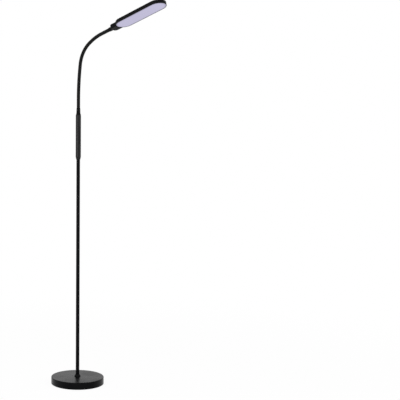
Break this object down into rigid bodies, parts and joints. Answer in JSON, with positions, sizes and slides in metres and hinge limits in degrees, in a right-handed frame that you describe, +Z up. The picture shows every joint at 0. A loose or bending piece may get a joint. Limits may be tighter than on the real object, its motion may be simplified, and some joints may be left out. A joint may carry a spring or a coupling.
{
  "type": "reading floor lamp",
  "caption": "Slim reading floor lamp: round weighted base, straight pole with touch grip, bendable gooseneck and a flat stadium-shaped LED head.",
  "frame": {"origin": "centre of the base's underside, on the floor", "axes": "+Z up along the pole; +X the way the head points at rest; +Y to the left of the head"},
  "size_m": [0.5907, 0.23, 1.5888],
  "materials": {
    "satin_black_steel": "satin",
    "matte_black_abs": "matte",
    "gloss_black_acrylic": "gloss",
    "black_silicone": "matte",
    "black_foam": "matte",
    "cable_jacket": "matte",
    "zinc_steel": "satin",
    "cast_iron": "matte",
    "contact_brass": "polished",
    "circuit_board": "satin",
    "chip_epoxy": "matte",
    "white_board": "satin",
    "led_phosphor": "gloss",
    "milk_acrylic": "satin"
  },
  "bodies": {
    "stand": {"floor_pad": "black_foam", "bottom_plate": "zinc_steel", "plate_screws": "zinc_steel", "base_weight": "cast_iron", "base_cover": "satin_black_steel", "threaded_nipple": "zinc_steel", "lock_nut": "zinc_steel", "lock_washer": "zinc_steel", "pole_collar": "matte_black_abs", "power_jack": "matte_black_abs", "jack_pin": "contact_brass", "jack_nut": "zinc_steel", "pole_tube_1": "satin_black_steel", "pole_tube_2": "satin_black_steel", "pole_tube_3": "satin_black_steel", "pole_joiner_1": "zinc_steel", "pole_joiner_2": "zinc_steel", "foot_insert": "zinc_steel", "top_insert": "zinc_steel", "supply_cable": "cable_jacket", "lower_ferrule": "matte_black_abs", "upper_ferrule": "matte_black_abs", "front_shell": "matte_black_abs", "rear_shell": "matte_black_abs", "grip_screws": "zinc_steel", "touch_panel": "gloss_black_acrylic", "control_board": "circuit_board", "touch_pads": "contact_brass", "board_chips": "chip_epoxy", "remote_receiver": "chip_epoxy", "neck_lower_fitting": "zinc_steel", "neck_sleeve": "black_silicone", "neck_cable": "cable_jacket"},
    "neck_segment_01": {"neck_segment_01": "zinc_steel"},
    "neck_segment_02": {"neck_segment_02": "zinc_steel"},
    "neck_segment_03": {"neck_segment_03": "zinc_steel"},
    "neck_segment_04": {"neck_segment_04": "zinc_steel"},
    "neck_segment_05": {"neck_segment_05": "zinc_steel"},
    "neck_segment_06": {"neck_segment_06": "zinc_steel"},
    "neck_segment_07": {"neck_segment_07": "zinc_steel"},
    "neck_segment_08": {"neck_segment_08": "zinc_steel"},
    "neck_segment_09": {"neck_segment_09": "zinc_steel"},
    "neck_segment_10": {"neck_segment_10": "zinc_steel"},
    "neck_segment_11": {"neck_segment_11": "zinc_steel"},
    "head": {"neck_upper_fitting": "zinc_steel", "neck_funnel": "matte_black_abs", "head_shell": "matte_black_abs", "tongue_cover": "matte_black_abs", "cover_screws": "zinc_steel", "diffuser": "milk_acrylic", "led_board": "white_board", "board_screws": "zinc_steel", "leds": "led_phosphor"}
  },
  "joints": [
    {"name": "lower_bend", "type": "hinge", "parent": "stand", "child": "neck_segment_01", "pos_m": [0, 0, 1.2212], "axis": [0, 1, 0], "range_deg": [-15, 15], "deforming": ["neck_sleeve", "neck_cable"]},
    {"name": "lower_sway", "type": "hinge", "parent": "neck_segment_01", "child": "neck_segment_02", "pos_m": [0.00006, 0, 1.25675], "axis": [0.9999, 0, -0.0105], "range_deg": [-15, 15]},
    {"name": "lower_bend_2", "type": "hinge", "parent": "neck_segment_02", "child": "neck_segment_03", "pos_m": [0.00101, 0, 1.29228], "axis": [0, 1, 0], "range_deg": [-15, 15]},
    {"name": "lower_sway_2", "type": "hinge", "parent": "neck_segment_03", "child": "neck_segment_04", "pos_m": [0.0031, 0, 1.32777], "axis": [0.9972, 0, -0.0751], "range_deg": [-15, 15]},
    {"name": "lower_bend_3", "type": "hinge", "parent": "neck_segment_04", "child": "neck_segment_05", "pos_m": [0.00634, 0, 1.36317], "axis": [0, 1, 0], "range_deg": [-15, 15]},
    {"name": "lower_sway_3", "type": "hinge", "parent": "neck_segment_05", "child": "neck_segment_06", "pos_m": [0.01073, 0, 1.39844], "axis": [0.9901, 0, -0.1405], "range_deg": [-15, 15]},
    {"name": "upper_bend", "type": "hinge", "parent": "neck_segment_06", "child": "neck_segment_07", "pos_m": [0.02104, 0, 1.43231], "axis": [0, 1, 0], "range_deg": [-24, 20]},
    {"name": "upper_sway", "type": "hinge", "parent": "neck_segment_07", "child": "neck_segment_08", "pos_m": [0.04116, 0, 1.46144], "axis": [0.7254, 0, -0.6883], "range_deg": [-18, 18]},
    {"name": "upper_bend_2", "type": "hinge", "parent": "neck_segment_08", "child": "neck_segment_09", "pos_m": [0.06915, 0, 1.48315], "axis": [0, 1, 0], "range_deg": [-24, 20]},
    {"name": "upper_sway_2", "type": "hinge", "parent": "neck_segment_09", "child": "neck_segment_10", "pos_m": [0.10108, 0, 1.4987], "axis": [0.3672, 0, -0.9302], "range_deg": [-18, 18]},
    {"name": "upper_bend_3", "type": "hinge", "parent": "neck_segment_10", "child": "neck_segment_11", "pos_m": [0.13502, 0, 1.50915], "axis": [0, 1, 0], "range_deg": [-24, 20]},
    {"name": "upper_sway_3", "type": "hinge", "parent": "neck_segment_11", "child": "head", "pos_m": [0.16978, 0, 1.51661], "axis": [0.2096, 0, -0.9778], "range_deg": [-18, 18]}
  ],
  "couplings": [
    {"joint": "lower_bend_2", "follows": "lower_bend", "ratio": 1},
    {"joint": "lower_sway_2", "follows": "lower_sway", "ratio": 1},
    {"joint": "lower_bend_3", "follows": "lower_bend", "ratio": 1},
    {"joint": "lower_sway_3", "follows": "lower_sway", "ratio": 1},
    {"joint": "upper_bend_2", "follows": "upper_bend", "ratio": 1},
    {"joint": "upper_sway_2", "follows": "upper_sway", "ratio": 1},
    {"joint": "upper_bend_3", "follows": "upper_bend", "ratio": 1},
    {"joint": "upper_sway_3", "follows": "upper_sway", "ratio": 1}
  ]
}
